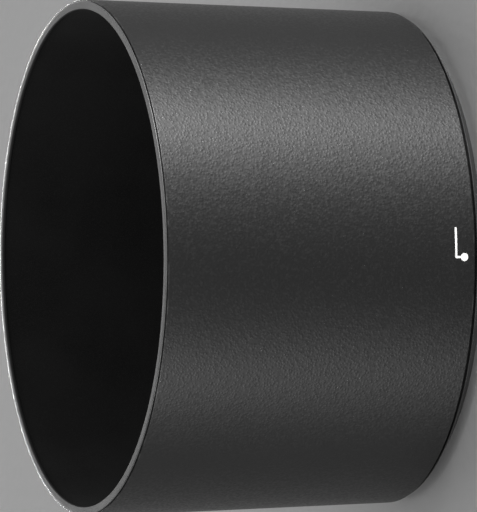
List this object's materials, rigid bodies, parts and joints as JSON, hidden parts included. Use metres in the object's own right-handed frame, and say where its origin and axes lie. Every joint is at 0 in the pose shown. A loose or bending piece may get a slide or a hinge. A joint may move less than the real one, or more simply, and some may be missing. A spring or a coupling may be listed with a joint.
{
  "type": "lens hood",
  "caption": "Bayonet lens hood: tapered textured barrel with a thin front rim ring, flocked inside, and a rear ring with a sloped edge, with inner lugs, stops and click springs.",
  "frame": {"origin": "centre of the flat rear face, which is the bottom of the part as it stands with its front opening up", "axes": "+Z along the optical axis from the rear face to the front rim; the index dot is on the -Y side and its line runs towards +X"},
  "size_m": [0.091, 0.091, 0.0601],
  "materials": {
    "shell": "fine stippled black, semi-matte",
    "rim": "smooth satin dark grey",
    "ring": "smooth satin black",
    "flock": "black flocked sheet",
    "screw": "black oxide steel",
    "spring": "bright rolled spring steel",
    "mark": "white paint fill"
  },
  "bodies": {
    "hood": {"barrel_shell": "shell", "front_rim_ring": "rim", "barrel_lining": "flock", "flange_lining": "flock", "bayonet_ring": "ring", "index_mark": "mark", "ring_screw_1": "screw", "ring_screw_2": "screw", "ring_screw_3": "screw", "ring_screw_4": "screw", "ring_screw_5": "screw", "ring_screw_6": "screw", "spring_screw_1": "screw", "spring_screw_2": "screw", "spring_screw_3": "screw"},
    "click_1": {"click_spring_1": "spring"},
    "click_2": {"click_spring_2": "spring"},
    "click_3": {"click_spring_3": "spring"}
  },
  "joints": [
    {"name": "click_1_flex", "type": "hinge", "parent": "hood", "child": "click_1", "pos_m": [0.0247, -0.0305, 0.0049], "axis": [0, 0, -1], "range_deg": [0, 3], "stiffness_Nm_per_rad": 0.5},
    {"name": "click_2_flex", "type": "hinge", "parent": "hood", "child": "click_2", "pos_m": [0.01407, 0.03664, 0.0049], "axis": [0, 0, -1], "range_deg": [0, 3], "stiffness_Nm_per_rad": 0.5},
    {"name": "click_3_flex", "type": "hinge", "parent": "hood", "child": "click_3", "pos_m": [-0.03877, -0.00614, 0.0049], "axis": [0, 0, -1], "range_deg": [0, 3], "stiffness_Nm_per_rad": 0.5}
  ]
}
